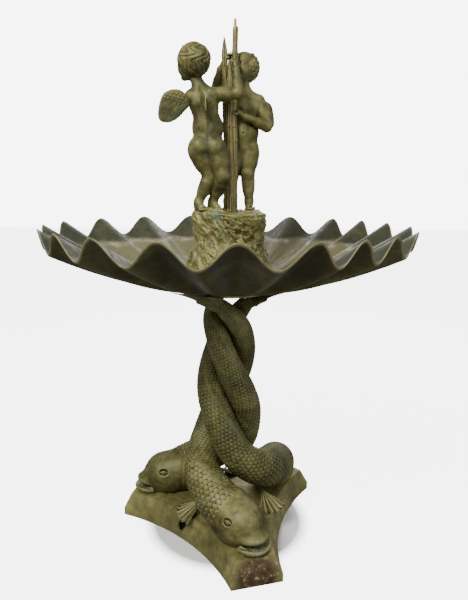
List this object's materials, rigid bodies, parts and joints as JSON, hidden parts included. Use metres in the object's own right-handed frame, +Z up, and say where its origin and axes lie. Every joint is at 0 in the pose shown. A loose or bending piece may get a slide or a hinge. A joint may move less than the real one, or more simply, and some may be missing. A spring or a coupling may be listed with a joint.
{
  "type": "garden fountain",
  "caption": "Cast bronze garden fountain: entwined dolphins on a three-footed plinth carry a fluted bowl, a rock and winged children holding reeds.",
  "frame": {"origin": "on the ground, on the axis of the column and bowl", "axes": "+Z up; -Y is the front; +X to the right seen from the front"},
  "size_m": [1.2, 1.2, 1.769],
  "materials": {
    "dolphin_bronze": "olive green patina over cast bronze, scales worn to brown",
    "plinth_bronze": "olive patina, rust brown with lime on the front foot",
    "bowl_bronze": "dark olive below, lime and green tide marks inside",
    "rock_bronze": "yellow green patina, rough cast rock",
    "figure_bronze": "smooth olive patina, rubbed paler on raised parts",
    "reed_bronze": "olive patina with water stains",
    "copper_tube": "drawn copper tube, dulled",
    "pipe_brass": "machined brass, dulled",
    "valve_chrome": "plated",
    "fixing_steel": "stainless fixings",
    "seat_plastic": "white sealing plastic",
    "gasket_rubber": "black rubber",
    "lever_paint": "red painted steel lever"
  },
  "bodies": {
    "root": {"plinth": "plinth_bronze", "head_bolts": "fixing_steel", "head_nuts": "fixing_steel", "dolphin_front_body": "dolphin_bronze", "dolphin_front_head": "dolphin_bronze", "dolphin_front_fin": "dolphin_bronze", "dolphin_front_fluke": "dolphin_bronze", "dolphin_front_mouth_tube": "copper_tube", "dolphin_right_body": "dolphin_bronze", "dolphin_right_head": "dolphin_bronze", "dolphin_right_fin": "dolphin_bronze", "dolphin_right_fluke": "dolphin_bronze", "dolphin_right_mouth_tube": "copper_tube", "dolphin_left_body": "dolphin_bronze", "dolphin_left_head": "dolphin_bronze", "dolphin_left_fin": "dolphin_bronze", "dolphin_left_fluke": "dolphin_bronze", "dolphin_left_mouth_tube": "copper_tube", "manifold": "pipe_brass", "hose_socket": "pipe_brass", "valve_body": "pipe_brass", "valve_seats": "seat_plastic", "riser_tube": "copper_tube", "hub_plate": "bowl_bronze", "hub_bolts": "fixing_steel", "riser_gasket": "gasket_rubber", "riser_locknut": "pipe_brass", "bowl": "bowl_bronze", "rock": "rock_bronze", "rock_studs": "fixing_steel", "rock_stud_nuts": "fixing_steel", "reed_bundle": "reed_bronze", "jet_pipe": "copper_tube", "jet_nozzle": "pipe_brass", "child_left": "figure_bronze", "child_left_wings": "figure_bronze", "child_right": "figure_bronze", "child_right_wings": "figure_bronze", "foot_studs": "fixing_steel", "foot_stud_nuts": "fixing_steel"},
    "valve_spindle": {"valve_ball": "valve_chrome", "valve_stem": "valve_chrome", "valve_lever": "lever_paint", "lever_nut": "fixing_steel"}
  },
  "joints": [
    {"name": "supply_valve_turn", "type": "hinge", "parent": "root", "child": "valve_spindle", "pos_m": [-0.05459, -0.04054, 0.02], "axis": [0, 0, 1], "range_deg": [0, 90]}
  ]
}
